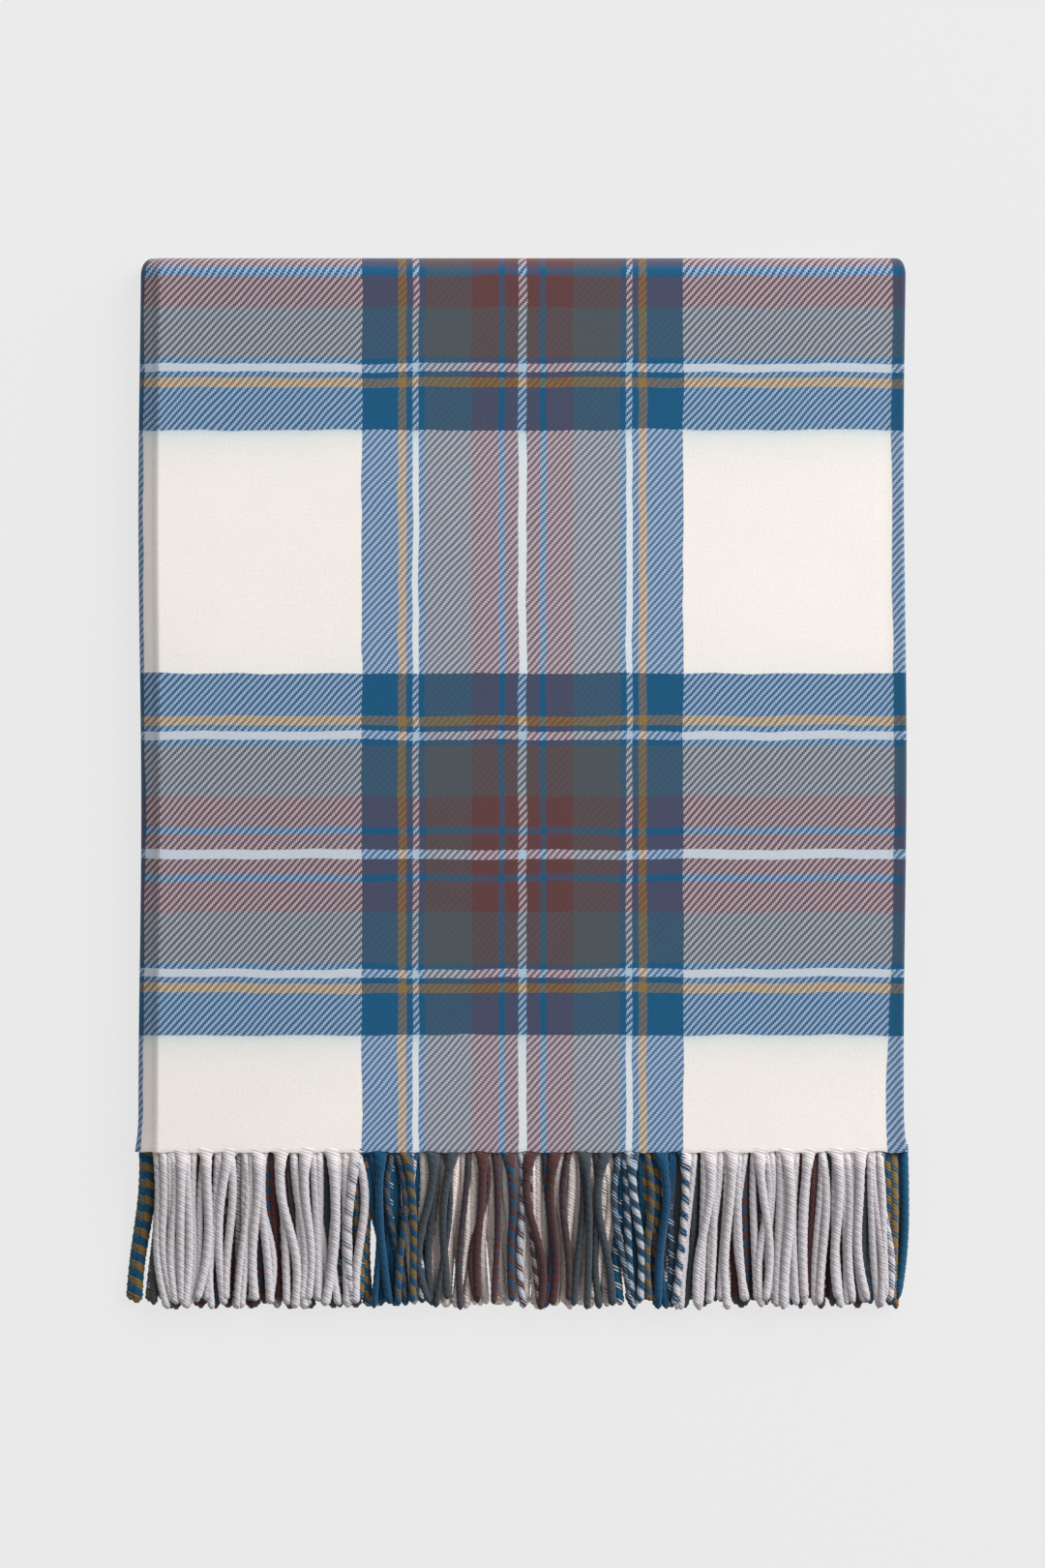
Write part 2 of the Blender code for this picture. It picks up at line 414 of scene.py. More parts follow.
for third in askew:
    print(third, "third: middle tassel's yarn at", round(float(yarn_place(0.0, third)) * 1000, 1), "mm")

# %% One straight tassel
lobe_dip = 0.09
lobe_sharpness = 1.3


def straight_tassel(points, turns, steps):
    """A unit tassel along +Y, one metre long, with a two-lobed section of radius one."""
    bm = bmesh.new()
    ring = bmesh.ops.create_circle(bm, cap_ends=False, segments=points, radius=1.0)["verts"]
    for vert in ring:
        a = math.atan2(vert.co.y, vert.co.x)
        r = 1.0 - lobe_dip + lobe_dip * abs(math.cos(a)) ** lobe_sharpness
        vert.co = (r * math.cos(a), 0.0, r * math.sin(a))
    edges = bm.edges[:]
    bmesh.ops.holes_fill(bm, edges=edges, sides=0)
    reached = 0.0
    for step in range(steps):
        advance = ((step + 1) / steps) ** root_finer - reached
        reached += advance
        grown = bmesh.ops.extrude_edge_only(bm, edges=edges)["geom"]
        verts = [g for g in grown if isinstance(g, bmesh.types.BMVert)]
        edges = [g for g in grown if isinstance(g, bmesh.types.BMEdge)]
        bmesh.ops.translate(bm, vec=(0, advance, 0), verts=verts)
        turn = Matrix.Rotation(2 * math.pi * turns * advance, 3, "Y")
        bmesh.ops.rotate(bm, cent=(0, 0, 0), matrix=turn, verts=verts)
    bmesh.ops.holes_fill(bm, edges=edges, sides=0)
    bmesh.ops.recalc_face_normals(bm, faces=bm.faces[:])
    mesh = bpy.data.meshes.new("straight_tassel")
    bm.to_mesh(mesh)
    bm.free()
    return mesh


near = straight_tassel(10, turns_in_tassel, round(turns_in_tassel * 8))
far = straight_tassel(8, turns_in_tassel, round(turns_in_tassel * 5))
hidden = straight_tassel(6, 1.0, 8)
print("faces in a near tassel:", len(near.polygons), "and a far one:", len(far.polygons))

# %% The path of a tassel
sag_early = 1.15
bow_lift = 0.0005
# a tassel leans by itself, and with its neighbours: share, radians a metre, start
lean_own = 0.7
lean_groups = [(1.6, 88, 2.0), (1.0, 41, 0.0)]
bow_share = 0.7
sway_share = 0.4
lean_share = 0.8
lean_power = 1.5
loose_in_band = 1.5
# where the splay at each end starts and over what width it grows, then how far the tips go
splay_left = (0.205, 0.025)
splay_right = (0.215, 0.018)
face_inward = 0.008
under_outward = 0.0085
middle_outward = 0.002


def leaning(places, rng):
    """How far each tassel leans, in shares of its wander: neighbours lean together in loose groups."""
    lean = rng.normal(0, lean_own, len(places))
    for share, waves, start in lean_groups:
        lean = lean + share * np.sin(places * waves + start)
    return lean


def path_across(t, place, third, bow, sway, lean, wander):
    """Places across the throw of a tassel's middle, at the shares t of its length."""
    near_left = np.clip((-place - splay_left[0]) / splay_left[1], 0, 1)
    near_right = np.clip((place - splay_right[0]) / splay_right[1], 0, 1)
    flare = near_left * (face_inward if third == "middle" else -under_outward)
    flare = flare + near_right * (middle_outward if third == "right" else 0.0)
    loose = loose_in_band if abs(place) < band_edge else 1.0
    bowed = bow * np.sin(math.pi * t) * bow_share
    swayed = sway * np.sin(2 * math.pi * t) * sway_share
    drift = (lean * lean_share + flare / wander) * wander * t ** lean_power
    return place + (bowed + swayed) * wander * loose + drift


def path_height(t, place, root_y, z_root, z_tip, bulges, arc, bow):
    """Heights of an open tassel's middle, from the cloth it leaves down to the table."""
    z0 = settle(np.array([place]), np.array([root_y]), np.array([z_root]))[0]
    z0 = z0 if bulges else z0 - tuck_drop
    lift = arc * np.sin(math.pi * t) + bow_lift * bow * t
    return z0 + (z_tip - z0) * smooth_step(t * sag_early) + lift


print("ends splay", under_outward * 1000, "mm out at the left,", middle_outward * 1000, "mm at the right")

# %% The girth of a tassel
tip_share = 0.35
lip_least = 0.0009
lip_more = 0.0006
lip_length = 0.0015
lip_early = 0.0035


def girth(t, place, length, size, broader, frayed, bulges):
    """Half breadth, half depth and the share that is still cloth, at the shares t of a tassel."""
    drop_below = t * fringe_length - root_tuck
    cut = np.sqrt(np.clip((1.0 - t) * length / frayed, 0.0, 1.0))
    taper = tip_share + (1.0 - tip_share) * cut
    broad = size * broader * taper
    deep = size * taper
    if not bulges:
        return broad, deep, np.zeros_like(t)
    within = np.clip(drop_below, 0, arch_radius)
    arch = np.sqrt(np.clip(arch_radius ** 2 - (arch_radius - within) ** 2, 0, None))
    neck = smooth_step((drop_below - arch_radius) / neck_length)
    narrowing = broad + (bulge_pitch / 2 - arch_radius - size) * (1 - neck)
    broad = np.where(drop_below < arch_radius, bulge_pitch / 2 - arch, narrowing)
    fan = 1 - smooth_step(drop_below / fan_length)
    early = lip_early if abs(place) > band_edge else 0.0
    lip = lip_least + lip_more * smooth_step((drop_below + early) / lip_length)
    return broad, deep * (1 - fan) + lip * fan, fan


print("arches between face tassels are", arch_radius * 2000, "mm across")

# %% Lay a row of tassels
shortest = 0.93
arc_most = 0.0012
tip_drop_most = 0.0022
finer_in_band = 0.84
arched_girth = (0.96, 1.14)
plain_girth = (0.84, 1.06)
# tips are cut clean, and taper unevenly only at the right
clean_cut = 0.0016
frayed_cut = (0.0014, 0.0065)
place_scatter = 0.0006
ply_offset = 0.0021
turn_offset = 0.37


def shared_by_copies(template, turns):
    """Points, face corners, ply side of each corner and turn of each corner of a straight tassel."""
    shape = np.empty(len(template.vertices) * 3)
    template.vertices.foreach_get("co", shape)
    shape = shape.reshape(-1, 3)
    corners = np.empty(len(template.loops), np.int32)
    template.loops.foreach_get("vertex_index", corners)
    centres = np.array([list(p.center) for p in template.polygons])
    face_turn = centres[:, 1] * 2 * math.pi * turns
    lobe = np.where(centres[:, 0] * np.cos(face_turn) - centres[:, 2] * np.sin(face_turn) > 0, 1.0, -1.0)
    face = np.repeat(np.arange(len(centres)), [p.loop_total for p in template.polygons])
    own_turn = np.arctan2(shape[corners, 2], shape[corners, 0]) / (2 * math.pi) + turns * shape[corners, 1]
    first = np.array([p.loop_start for p in template.polygons])[face]
    own_turn = own_turn[first] + (own_turn - own_turn[first] + 0.5) % 1.0 - 0.5
    return shape, corners, lobe[face], own_turn


def row_object(name, template, co, uv, ply):
    """One object of as many copies of the template as co has, with its two maps."""
    bm = bmesh.new()
    for _ in co:
        bm.from_mesh(template)
    mesh = bpy.data.meshes.new(name)
    bm.to_mesh(mesh)
    bm.free()
    mesh.vertices.foreach_set("co", co.ravel())
    for label, values in (("cloth", uv), ("ply", ply)):
        mesh.uv_layers.new(name=label)
        mesh.uv_layers[label].data.foreach_set("uv", values.astype(np.float32).ravel())
    for polygon in mesh.polygons:
        polygon.use_smooth = True
    obj = bpy.data.objects.new(name, mesh)
    bpy.context.scene.collection.objects.link(obj)
    return obj


def fringe_row(name, template, turns, third, places, bulging, root_y, heights, way,
               rng, wander, radius, broader):
    """Copies of a straight tassel, each bent along its own line; way is -1 at the open end, 1 inside."""
    shape, corners, lobe, own_turn = shared_by_copies(template, turns)
    t = shape[:, 1]
    z_root, z_tip = heights
    lean = leaning(places, rng)
    mirrored = 1.0 if third == "middle" else -1.0
    co = np.empty((len(places), len(shape), 3))
    uv = np.empty((len(places), len(corners), 2))
    ply = np.empty((len(places), len(corners), 2))
    for i, place in enumerate(places):
        bulges = bulging[i] and abs(place) < half_width - plain_end
        length = fringe_length * rng.uniform(shortest, 1.0)
        phase = rng.uniform(0, 2 * math.pi)
        bow = rng.normal(0, 1.0)
        sway = rng.normal(0, 1.0)
        arc = rng.uniform(0, arc_most)
        low = 0.0 if bulges or way > 0 else rng.uniform(0.0, min(tip_drop_most, z_tip - lowest_tip))
        size = radius * rng.uniform(*(arched_girth if bulges else plain_girth))
        size = size * (finer_in_band if third == "middle" and abs(place) < band_edge else 1.0)
        frayed = clean_cut if place < band_edge else rng.uniform(*frayed_cut)
        mid_x = path_across(t, place, third, bow, sway, lean[i], wander)
        mid_z = z_root
        if way < 0:
            mid_z = path_height(t, place, root_y, z_root, z_tip - low, bulges, arc, bow)
        broad, deep, fan = girth(t, place, length, size, broader, frayed, bulges)
        spun_x = shape[:, 0] * math.cos(phase) - shape[:, 2] * math.sin(phase)
        spun_z = shape[:, 0] * math.sin(phase) + shape[:, 2] * math.cos(phase)
        co[i, :, 0] = mid_x + spun_x * broad
        co[i, :, 1] = root_y + way * (t * (length + root_tuck) - root_tuck)
        co[i, :, 2] = mid_z + spun_z * deep
        still_cloth = mirrored * (co[i, corners, 0] - mid_x[corners]) * fan[corners]
        uv[i, :, 0] = yarn_place(place, third) + lobe * ply_offset * (1 - fan[corners]) + still_cloth
        uv[i, :, 1] = root_tuck - t[corners] * (length + root_tuck)
        ply[i, :, 0] = own_turn + i * turn_offset
        ply[i, :, 1] = t[corners] * length
    return row_object(name, template, co, uv, ply)


def tassel_places(start, end, pitch, rng):
    count = int((end - start) / pitch)
    even = start + (np.arange(count) + 0.5) * (end - start) / count
    return even + rng.normal(0, place_scatter, count)


lengths = [round(share * fringe_length * 1000, 1) for share in (shortest, 1.0)]
print("tassels are", lengths[0], "to", lengths[1], "mm long")

# %% The open fringe: face, middle and under rows
far_left = -half_width
far_right = half_width
face_z = [pile_height - cloth_depth / 2 - i * layer_step for i in range(3)]
beside_inset = 0.004
beside_pitch = 0.0070
beside_scatter = 0.002
one_in_band = 4
open_rows = [
    {"label": "face", "template": near, "third": "middle", "start": far_left + 0.006,
     "end": far_right - 0.009, "pitch": bulge_pitch / 2, "z_tip": 0.0128, "wander": 0.0032,
     "radius": 0.0028, "broader": 1.0, "seed": 11},
    {"label": "middle", "template": far, "third": "right", "start": far_left + selvedge_short - 0.003,
     "end": far_right + 0.001, "pitch": 0.0050, "z_tip": 0.0084, "wander": 0.0028,
     "radius": 0.0028, "broader": 1.1, "seed": 12},
    {"label": "under", "template": far, "third": "left", "start": far_left - 0.001,
     "end": far_right - selvedge_short + 0.008, "pitch": 0.0043, "z_tip": lowest_tip, "wander": 0.0022,
     "radius": 0.0030, "broader": 1.3, "seed": 13},
]


def with_plain_ones(places, start, end, rng):
    """The face row's places with plain tassels beside them, one in four of them inside the band."""
    beside = tassel_places(start + beside_inset, end - beside_inset, beside_pitch, rng)
    beside = beside + rng.uniform(-beside_scatter, beside_scatter, len(beside))
    beside = beside[(np.abs(beside) > band_edge) | (np.arange(len(beside)) % one_in_band == 0)]
    bulging = np.concatenate([np.arange(len(places)) % 2 == 0, np.zeros(len(beside), bool)])
    return np.concatenate([places, beside]), bulging


fringe = []
for i, spec in enumerate(open_rows):
    rng = np.random.default_rng(spec["seed"])
    places = tassel_places(spec["start"], spec["end"], spec["pitch"], rng)
    bulging = np.zeros(len(places), bool)
    if spec["label"] == "face":
        places, bulging = with_plain_ones(places, spec["start"], spec["end"], rng)
    row = fringe_row("tassels_" + spec["label"], spec["template"], turns_in_tassel, spec["third"], places,
                     bulging, y_cloth_end, (face_z[i], spec["z_tip"]), -1, rng, spec["wander"],
                     spec["radius"], spec["broader"])
    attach(row, hinge["child"])
    nodes = [n for n in frame["nodes"] if n.startswith("fringe_" + spec["label"])]
    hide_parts(*nodes)
    fringe.append(row)
    print(row.name, len(places), "tassels")

# %% The hidden fringe: three flat rows inside the fold
inner_z = [inner_high.z - cloth_depth / 2 - i * layer_step for i in range(3)]
inner_margin = 0.008
inner_pitch = 0.0074
inner_wander = 0.0016
inner_radius = 0.00115
inner_broader = 2.2
for i, (label, third) in enumerate([("face", "middle"), ("middle", "right"), ("under", "left")]):
    rng = np.random.default_rng(21 + i)
    places = tassel_places(-half_width + inner_margin, half_width - inner_margin, inner_pitch, rng)
    template, turns = (far, turns_in_tassel) if label == "face" else (hidden, 1.0)
    row = fringe_row("inner_tassels_" + label, template, turns, third, places, np.zeros(len(places), bool),
                     y_inner_end, (inner_z[i], inner_z[i]), 1, rng, inner_wander, inner_radius,
                     inner_broader)
    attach(row, hinge["parent"])
    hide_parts("inner_fringe_" + label)
    fringe.append(row)
    print(row.name, len(places), "tassels")

# %% [markdown]
# ## Yarn and stripes
# Both the cloth and the fringe read one stripe order across the warp; the cloth reads the same order along
# the weft. Each stripe is given by how far it reaches from the middle of a band, and the band repeats.

# %% Yarn colours and stripe order
yarn = {
    "cream": (0.900, 0.840, 0.800),
    "white": (0.500, 0.660, 0.760),
    "blue": (0.001, 0.080, 0.182),
    "charcoal": (0.062, 0.078, 0.091),
    "maroon": (0.103, 0.039, 0.040),
    "gold": (0.232, 0.147, 0.043),
}
weft_cream_from = 0.1096
warp_order = [("white", 2.3), ("maroon", 10.1), ("blue", 14.1), ("maroon", 30.8), ("charcoal", 58.8),
              ("blue", 62.9), ("white", 66.8), ("blue", 70.6), ("gold", 75.1),
              ("blue", cream_from * 1000), ("cream", 999)]
weft_order = [("white", 2.5), ("maroon", 11.7), ("blue", 15.9), ("maroon", 34.6), ("charcoal", 65.7),
              ("blue", 69.4), ("white", 74.4), ("blue", 78.2), ("gold", 83.9),
              ("blue", weft_cream_from * 1000), ("cream", 999)]
warp_repeat = 0.3230
weft_repeat = 0.3683
weft_start = 0.1812
print("a band repeats every", warp_repeat * 1000, "mm across and", weft_repeat * 1000, "mm along")

# %% Small tools for drawing in nodes
def new_group(name, takes, gives):
    tree = bpy.data.node_groups.new(name, "ShaderNodeTree")
    for label, kind in takes:
        tree.interface.new_socket(label, in_out="INPUT", socket_type=kind)
    for label, kind in gives:
        tree.interface.new_socket(label, in_out="OUTPUT", socket_type=kind)
    return tree, tree.nodes.new("NodeGroupInput"), tree.nodes.new("NodeGroupOutput")


def feed(tree, socket, value):
    """Put a number or a colour in a socket, or wire another socket to it."""
    if isinstance(value, (int, float)):
        socket.default_value = value
    elif isinstance(value, tuple):
        socket.default_value = (*value, 1.0)
    else:
        tree.links.new(value, socket)


def maths(tree, kind, a, b=None, c=None):
    node = tree.nodes.new("ShaderNodeMath")
    node.operation = kind
    for socket, value in zip(node.inputs, (a, b, c)):
        if value is not None:
            feed(tree, socket, value)
    return node.outputs[0]


def times(tree, a, b):
    return maths(tree, "MULTIPLY", a, b)


def minus(tree, a, b):
    return maths(tree, "SUBTRACT", a, b)


def times_plus(tree, a, b, c):
    return maths(tree, "MULTIPLY_ADD", a, b, c)


def one_minus(tree, value):
    return minus(tree, 1.0, value)


def fading(tree, distance, reach):
    """One at no distance, falling away over the reach."""
    return maths(tree, "EXPONENT", maths(tree, "DIVIDE", distance, -reach))


def blend_colour(tree, kind, amount, a, b):
    node = tree.nodes.new("ShaderNodeMix")
    node.data_type = "RGBA"
    node.blend_type = kind
    for socket, value in ((node.inputs[0], amount), (node.inputs[6], a), (node.inputs[7], b)):
        feed(tree, socket, value)
    return node.outputs[2]


def noise(tree, vector, scale, detail=2.0, rough=0.5):
    node = tree.nodes.new("ShaderNodeTexNoise")
    node.inputs["Scale"].default_value = scale
    node.inputs["Detail"].default_value = detail
    node.inputs["Roughness"].default_value = rough
    feed(tree, node.inputs["Vector"], vector)
    return node.outputs[0]


def joined(tree, a, b, c=0.0):
    node = tree.nodes.new("ShaderNodeCombineXYZ")
    for socket, value in zip(node.inputs, (a, b, c)):
        feed(tree, socket, value)
    return node.outputs[0]


def remap(tree, value, low, high, to_low=0.0, to_high=1.0):
    node = tree.nodes.new("ShaderNodeMapRange")
    for socket, number in zip(node.inputs, (value, low, high, to_low, to_high)):
        feed(tree, socket, number)
    return node.outputs[0]


def use_group(tree, group, **values):
    node = tree.nodes.new("ShaderNodeGroup")
    node.node_tree = group
    for label, value in values.items():
        feed(tree, node.inputs[label], value)
    return node


print("yarns to dye:", ", ".join(yarn))

# %% Dye the stripes
def stripe_group(name, order, repeat):
    """Yarn colour at a distance from the middle of a band, and whether the yarn is a pale one."""
    tree, takes, gives = new_group(name, [("Place", "NodeSocketFloat")],
                                   [("Yarn", "NodeSocketColor"), ("Pale", "NodeSocketFloat")])
    half_repeat = repeat / 2
    folded = maths(tree, "PINGPONG", takes.outputs["Place"], half_repeat)
    share = maths(tree, "DIVIDE", folded, half_repeat)
    ramp = tree.nodes.new("ShaderNodeValToRGB")
    ramp.color_ramp.interpolation = "CONSTANT"
    reach = 0.0
    for i, (colour, end) in enumerate(order):
        stop = ramp.color_ramp.elements[i] if i < 2 else ramp.color_ramp.elements.new(0.99)
        stop.position = reach / (half_repeat * 1000)
        stop.color = (*yarn[colour], 1.0 if colour in ("cream", "white") else 0.0)
        reach = end
    tree.links.new(share, ramp.inputs[0])
    tree.links.new(ramp.outputs[0], gives.inputs["Yarn"])
    tree.links.new(ramp.outputs[1], gives.inputs["Pale"])
    return tree


warp_stripes = stripe_group("warp stripes", warp_order, warp_repeat)
weft_stripes = stripe_group("weft stripes", weft_order, weft_repeat)
print(len(warp_order), "warp stripes and", len(weft_order), "weft stripes in half a band")

# %% [markdown]
# ## The weave
# It is a two-and-two twill: each end goes over two picks and under two, one pick later than its neighbour,
# so the floats climb to the right. The cream squares are brushed, and the nap carries a little of the band
# above down into them.

# %% Lay the threads on the flat cloth, a little unevenly
end_pitch = 0.00104
pick_pitch = 0.00116
end_drift = 0.0030
pick_drift = 0.0036
# scales of the noises: how evenly the threads lie, then the finest fuzz, then the hairs of the nap
across_scale = 28.0
along_scale = 24.0
fuzz_scale = 2600.0
hair_scale = 420.0
hair_length = 5.0

weave, takes, gives = new_group(
    "twill weave", [("Across", "NodeSocketFloat"), ("Along", "NodeSocketFloat")],
    [("Colour", "NodeSocketColor"), ("Height", "NodeSocketFloat")])
u, v = takes.outputs["Across"], takes.outputs["Along"]
flat_place = joined(weave, u, v)
drift_across = noise(weave, flat_place, across_scale)
wobble_u = times_plus(weave, minus(weave, drift_across, 0.5), end_drift, u)
drift_along = noise(weave, joined(weave, v, u, 3.0), along_scale)
wobble_v = times_plus(weave, minus(weave, drift_along, 0.5), pick_drift, v)
fine = noise(weave, flat_place, fuzz_scale, 1.0)
hairs = noise(weave, joined(weave, times(weave, u, hair_length), v), hair_scale, 3.0, 0.7)
print("ends every", round(end_pitch * 1000, 2), "mm, picks every", round(pick_pitch * 1000, 2), "mm")

# %% Which yarn lies on top
end_place = maths(weave, "DIVIDE", wobble_u, end_pitch)
pick_place = maths(weave, "DIVIDE", wobble_v, pick_pitch)
end_number = maths(weave, "FLOOR", end_place)
pick_number = maths(weave, "FLOOR", pick_place)
step_place = maths(weave, "FLOORED_MODULO", minus(weave, end_number, pick_number), 4.0)
warp_up = maths(weave, "LESS_THAN", step_place, 1.5)
warp_down = one_minus(weave, warp_up)
print("twill repeats every", round(4 * end_pitch * 1000, 2), "x", round(4 * pick_pitch * 1000, 2), "mm")

# %% The two yarns that cross
# the stripes follow the same stretch and pull as the fringe below them; the pull fades out up the cloth
pull_full_at = 0.04
pull_gone_at = 0.12
end_fuzz = 0.0016
pick_fuzz = 0.0018

left_over = maths(weave, "MAXIMUM", minus(weave, -cream_from, wobble_u), 0.0)
placed_u = times_plus(weave, left_over, left_stretch, wobble_u)
pulled = times(weave, remap(weave, u, pull_from, pull_to), remap(weave, v, pull_gone_at, pull_full_at))
placed_u = times_plus(weave, pulled, right_pull, placed_u)
fuzz_u = times_plus(weave, minus(weave, fine, 0.5), end_fuzz, placed_u)
fuzz_v = times_plus(weave, minus(weave, hairs, 0.5), pick_fuzz, wobble_v)
from_band = minus(weave, fuzz_v, weft_start)
end_yarn = use_group(weave, warp_stripes, Place=fuzz_u)
pick_yarn = use_group(weave, weft_stripes, Place=from_band)
over = blend_colour(weave, "MIX", warp_up, pick_yarn.outputs["Yarn"], end_yarn.outputs["Yarn"])
under = blend_colour(weave, "MIX", warp_up, end_yarn.outputs["Yarn"], pick_yarn.outputs["Yarn"])
pale_end, pale_pick = end_yarn.outputs["Pale"], pick_yarn.outputs["Pale"]
pale_over = maths(weave, "ADD", times(weave, warp_up, pale_end), times(weave, warp_down, pale_pick))
both_pale = times(weave, pale_end, pale_pick)
mixed = maths(weave, "ABSOLUTE", minus(weave, pale_end, pale_pick))
both_dark = one_minus(weave, maths(weave, "ADD", mixed, both_pale))
print("stripes pulled", right_pull * 1000, "mm at the lower right, gone", pull_gone_at * 1000, "mm up")

# %% Light along each thread
# a pale thread is painted lighter along its middle and darker at its sides, painted light and shade on its
# round top; at the sides of a thread the yarn beneath also shows through
pale_float_range = (0.66, 1.22)
dark_float_range = (0.16, 0.00)
pale_pick_more = 0.13
float_light = (0.300, 0.312, 0.368)
dark_show = 0.3

thread_u = maths(weave, "PINGPONG", end_place, 0.5)
thread_v = maths(weave, "PINGPONG", pick_place, 0.5)
thread = maths(weave, "ADD", times(weave, warp_up, thread_u), times(weave, warp_down, thread_v))
pale_show = times(weave, pale_over, remap(weave, both_pale, 0.0, 1.0, 1.0, 0.5))
lean_under = maths(weave, "ADD", pale_show, times(weave, both_dark, dark_show))
ground = blend_colour(weave, "MIX", lean_under, over, under)
pale_float = remap(weave, thread, 0.0, 0.5, *pale_float_range)
dark_float = remap(weave, thread, 0.0, 0.5, *dark_float_range)
cover = maths(weave, "ADD", times(weave, pale_over, pale_float),
              times(weave, one_minus(weave, pale_over), dark_float))
cover = times(weave, times_plus(weave, pale_pick, pale_pick_more, cover), mixed)
lit = joined(weave, *(times(weave, cover, share) for share in float_light))
woven = blend_colour(weave, "ADD", 1.0, ground, lit)
most_light = max(float_light) * (pale_float_range[1] + pale_pick_more)
print("a pale float over a dark yarn adds up to", round(most_light, 2))

# %% Brush the nap, and paint shade beside the bands and down the right side
# a blue haze of the nap hangs just below each band; painted shade lies further out into the cream beside
# each band, fainter above it, and painted shade lies down the right side
near_reach = 0.0018
far_reach = 0.011
above_share = 0.35
near_haze_blue = (0.50, 0.62, 0.86)
far_shade_colour = (0.74, 0.87, 0.89)
white_line_grey = (0.76, 0.78, 0.84)
# painted shade down the right side of the face
painted_right_shade = (0.76, 0.74, 0.72)
shade_from = 0.216
shade_to = 0.2325

repeat_place = maths(weave, "FLOORED_MODULO", from_band, weft_repeat)
below_band = maths(weave, "GREATER_THAN", repeat_place, weft_repeat / 2)
out_of_band = minus(weave, maths(weave, "PINGPONG", from_band, weft_repeat / 2), weft_cream_from)
into_square = maths(weave, "MAXIMUM", 0.0, out_of_band)
in_square = times(weave, both_pale, maths(weave, "GREATER_THAN", into_square, 0.0))
near_haze = times(weave, fading(weave, into_square, near_reach), remap(weave, hairs, 0.3, 0.7, 0.2, 1.0))
near_haze = times(weave, near_haze, times(weave, in_square, below_band))
# painted shade, cool grey, fading out into the cream beside each band, fainter above it
far_painted_shade = times(weave, fading(weave, into_square, far_reach), in_square)
far_painted_shade = times(weave, far_painted_shade, remap(weave, below_band, 0.0, 1.0, above_share, 1.0))
pale_line = minus(weave, both_pale, in_square)
# where the painted shade lies, towards the right side
painted_shade_at_right = remap(weave, u, shade_from, shade_to)
nap_and_painted_shade = blend_colour(weave, "MULTIPLY", near_haze, woven, near_haze_blue)
nap_and_painted_shade = blend_colour(weave, "MULTIPLY", far_painted_shade, nap_and_painted_shade, far_shade_colour)
nap_and_painted_shade = blend_colour(weave, "MULTIPLY", pale_line, nap_and_painted_shade, white_line_grey)
nap_and_painted_shade = blend_colour(weave, "MULTIPLY", painted_shade_at_right, nap_and_painted_shade, painted_right_shade)
# the reach of the haze close by, and of the painted shade further out
print("haze reaches", near_reach * 1000, "mm close by and", far_reach * 1000, "mm further out")

# %% Tone, painted thread shade and relief of the cloth
relief_of_nap = 0.6
nap_scale = 1500.0
mottle_scale = 620.0
slow_scale = 9.0
warmth = 0.06
warmth_scale = 31.0

# painted shade: each thread darker at its sides and lighter along its middle, unless both yarns are pale
shade = remap(weave, times(weave, thread, one_minus(weave, both_pale)), 0.0, 0.5, 0.95, 1.06)
mottle = remap(weave, noise(weave, flat_place, mottle_scale, 3.0, 0.8), 0.25, 0.75, 0.93, 1.07)
slow = remap(weave, noise(weave, flat_place, slow_scale, 3.0), 0.3, 0.7, 0.985, 1.015)
value = times(weave, times(weave, shade, mottle), slow)
warm = times_plus(weave, minus(weave, noise(weave, flat_place, warmth_scale), 0.5), warmth, 1.0)
tone = joined(weave, times(weave, value, warm), value, value)
final = blend_colour(weave, "MULTIPLY", 1.0, nap_and_painted_shade, tone)
weave.links.new(final, gives.inputs["Colour"])
soft = times(weave, noise(weave, flat_place, nap_scale, 3.0, 0.8), relief_of_nap)
ribs = times(weave, thread, remap(weave, both_pale, 0.0, 1.0, 1.0, 0.2))
weave.links.new(maths(weave, "ADD", ribs, soft), gives.inputs["Height"])
print("weave drawn with", len(weave.nodes), "nodes")

# %% [markdown]
# ## Wool finishes
# The cloth and the tassels are the same dull wool. Past its root the face row of the fringe is painted in
# cool shade, a little darker and cooler than the cloth, and the lower rows, which lie in shade, get a
# slight warm tint that is painted bounce light. The fringe's two plies and their strands show.

# %% Cloth finish
cloth_relief = (0.5, 0.0004)


def wool(name):
    mat = bpy.data.materials.new(name)
    mat.use_nodes = True
    tree = mat.node_tree
    shader = tree.nodes["Principled BSDF"]
    shader.inputs["Roughness"].default_value = 0.92
    shader.inputs["Specular IOR Level"].default_value = 0.12
    shader.inputs["Sheen Weight"].default_value = 0.18
    shader.inputs["Sheen Roughness"].default_value = 0.6
    return mat, tree, shader


def flat_map(tree, label):
    node = tree.nodes.new("ShaderNodeUVMap")
    node.uv_map = label
    apart = tree.nodes.new("ShaderNodeSeparateXYZ")
    tree.links.new(node.outputs[0], apart.inputs[0])
    return apart.outputs[0], apart.outputs[1]


def bump(tree, shader, height, strength, distance):
    node = tree.nodes.new("ShaderNodeBump")
    node.inputs["Strength"].default_value = strength
    node.inputs["Distance"].default_value = distance
    tree.links.new(height, node.inputs["Height"])
    tree.links.new(node.outputs[0], shader.inputs["Normal"])


cloth_finish, tree, shader = wool("brushed tartan wool")
u, v = flat_map(tree, "cloth")
woven = use_group(tree, weave, Across=u, Along=v)
tree.links.new(woven.outputs["Colour"], shader.inputs["Base Color"])
bump(tree, shader, woven.outputs["Height"], *cloth_relief)
throw.data.materials.append(cloth_finish)
print("finish:", cloth_finish.name)

# %% Tassel finishes
tassel_relief = (0.6, 0.0004)
strands_in_ply = 5
strand_shift = 0.0013
fibre_shift = 0.004
undyed_pale = (0.82, 0.76, 0.78)
root_fade = 0.010
fibres_down = 260.0
fibres_round = 9.0
strand_relief = 0.4
# tints past the root: painted cool shade on the face row, painted warm bounce light on the rows below it
top_tint = (0.67, 0.68, 0.72)
painted_bounce_tint = (1.00, 0.94, 0.90)


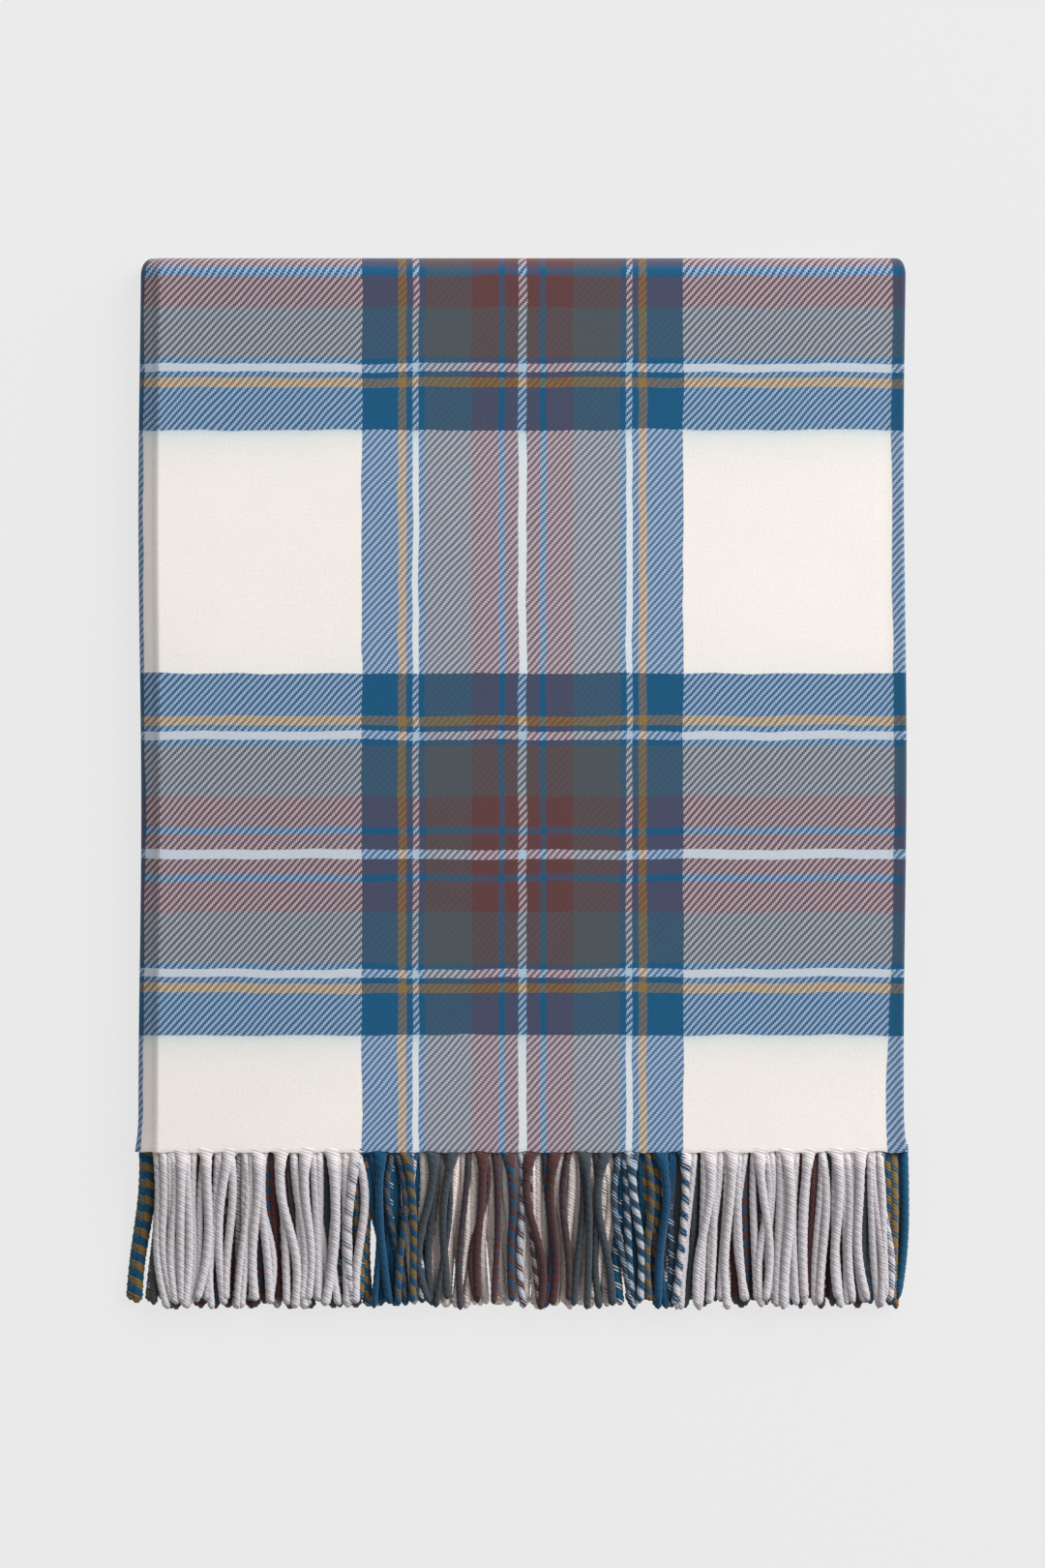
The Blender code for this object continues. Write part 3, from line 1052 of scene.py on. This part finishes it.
def tassel_wool(name, tint):
    """Fringe wool: strands round each ply with painted shade in their grooves, fibres down it, and a
    painted-light tint past the root.
    """
    mat, tree, shader = wool(name)
    u, v = flat_map(tree, "cloth")
    own_turn, down = flat_map(tree, "ply")
    strand = maths(tree, "SINE", times(tree, own_turn, 2 * math.pi * strands_in_ply))
    lengthwise = times_plus(tree, down, fibres_down, times(tree, own_turn, fibres_round))
    fibre = noise(tree, joined(tree, lengthwise, times(tree, own_turn, 3.0)), 2.0, 3.0, 0.7)
    taken_from = times_plus(tree, strand, strand_shift, u)
    taken_from = times_plus(tree, minus(tree, fibre, 0.5), fibre_shift, taken_from)
    yarns = use_group(tree, warp_stripes, Place=taken_from)
    half_pale = times(tree, yarns.outputs["Pale"], 0.5)
    dyed = blend_colour(tree, "MIX", half_pale, yarns.outputs["Yarn"], undyed_pale)
    fibre_light = remap(tree, fibre, 0.2, 0.8, 0.82, 1.12)
    # random tone of the fibres, times painted shade in the grooves between strands
    fibre_tone_and_groove_shade = times(tree, fibre_light, remap(tree, strand, -1.0, 1.0, 0.86, 1.08))
    coloured = blend_colour(tree, "MULTIPLY", 1.0, dyed, joined(tree, fibre_tone_and_groove_shade, fibre_tone_and_groove_shade, fibre_tone_and_groove_shade))
    # the tint past the root: painted shade on the face row, painted bounce light on the rows below it
    tinted = blend_colour(tree, "MULTIPLY", 1.0, coloured, tint)
    root = remap(tree, v, -root_fade, 0.0)
    finished = blend_colour(tree, "MIX", root, tinted, coloured)
    tree.links.new(finished, shader.inputs["Base Color"])
    bump(tree, shader, times_plus(tree, strand, strand_relief, fibre), *tassel_relief)
    return mat


top_tassels = tassel_wool("twisted fringe wool", top_tint)
# the rows below lie in shade, and their tint is painted warm bounce light
bounce_painted_tassels = tassel_wool("fringe wool with painted bounce light", painted_bounce_tint)
for row in fringe:
    row.data.materials.append(top_tassels if row.name == "tassels_face" else bounce_painted_tassels)
print("finishes:", top_tassels.name, "and", bounce_painted_tassels.name)

# %% [markdown]
# ## Table, light and camera
# A plain pale table, one big soft light from the right and above, and even light all round. The camera
# looks straight down through a long lens.

# %% Table
table_half = 6.0
table_grey = 0.08
table_glow = 0.745
floor_mesh = bpy.data.meshes.new("floor")
bm = bmesh.new()
bmesh.ops.create_grid(bm, x_segments=1, y_segments=1, size=table_half)
bm.to_mesh(floor_mesh)
bm.free()
floor = bpy.data.objects.new("floor", floor_mesh)
bpy.context.scene.collection.objects.link(floor)
floor_paint = bpy.data.materials.new("pale table")
floor_paint.use_nodes = True
floor_shader = floor_paint.node_tree.nodes["Principled BSDF"]
floor_shader.inputs["Base Color"].default_value = (table_grey, table_grey, table_grey, 1.0)
floor_shader.inputs["Roughness"].default_value = 0.9
floor_shader.inputs["Specular IOR Level"].default_value = 0.0
floor_shader.inputs["Emission Color"].default_value = (1.0, 1.0, 1.0, 1.0)
floor_shader.inputs["Emission Strength"].default_value = table_glow
floor_mesh.materials.append(floor_paint)
print("table", 2 * table_half, "m square")

# %% Room and window light
room_light = 0.36
world = bpy.context.scene.world or bpy.data.worlds.new("room")
bpy.context.scene.world = world
world.use_nodes = True
room = world.node_tree.nodes["Background"]
room.inputs[0].default_value = (1.0, 1.0, 1.0, 1.0)
room.inputs[1].default_value = room_light


def soft_light(name, size, power, place):
    lamp = bpy.data.lights.new(name, "AREA")
    lamp.size = size
    lamp.energy = power
    obj = bpy.data.objects.new(name, lamp)
    obj.location = place
    obj.rotation_mode = "QUATERNION"
    obj.rotation_quaternion = (Vector((0, 0, 0)) - Vector(place)).to_track_quat("-Z", "Y")
    bpy.context.scene.collection.objects.link(obj)
    print(name, size, "m square,", power, "W, at", place)


soft_light("window light", 4.5, 550.0, (4.0, 3.2, 3.2))

# %% Camera
lens_length = 150.0
film_height = 36.0
view_height = 0.954
lens = bpy.data.cameras.new("camera")
lens.lens = lens_length
lens.sensor_width = film_height
camera = bpy.data.objects.new("camera", lens)
camera.location = (0.0, 0.0, pile_height + lens_length / film_height * view_height)
camera.rotation_euler = (0.0, 0.0, 0.0)
bpy.context.scene.collection.objects.link(camera)
bpy.context.scene.camera = camera
bpy.context.scene.view_settings.view_transform = "Standard"
print("camera", round(camera.location.z, 3), "m above the table")
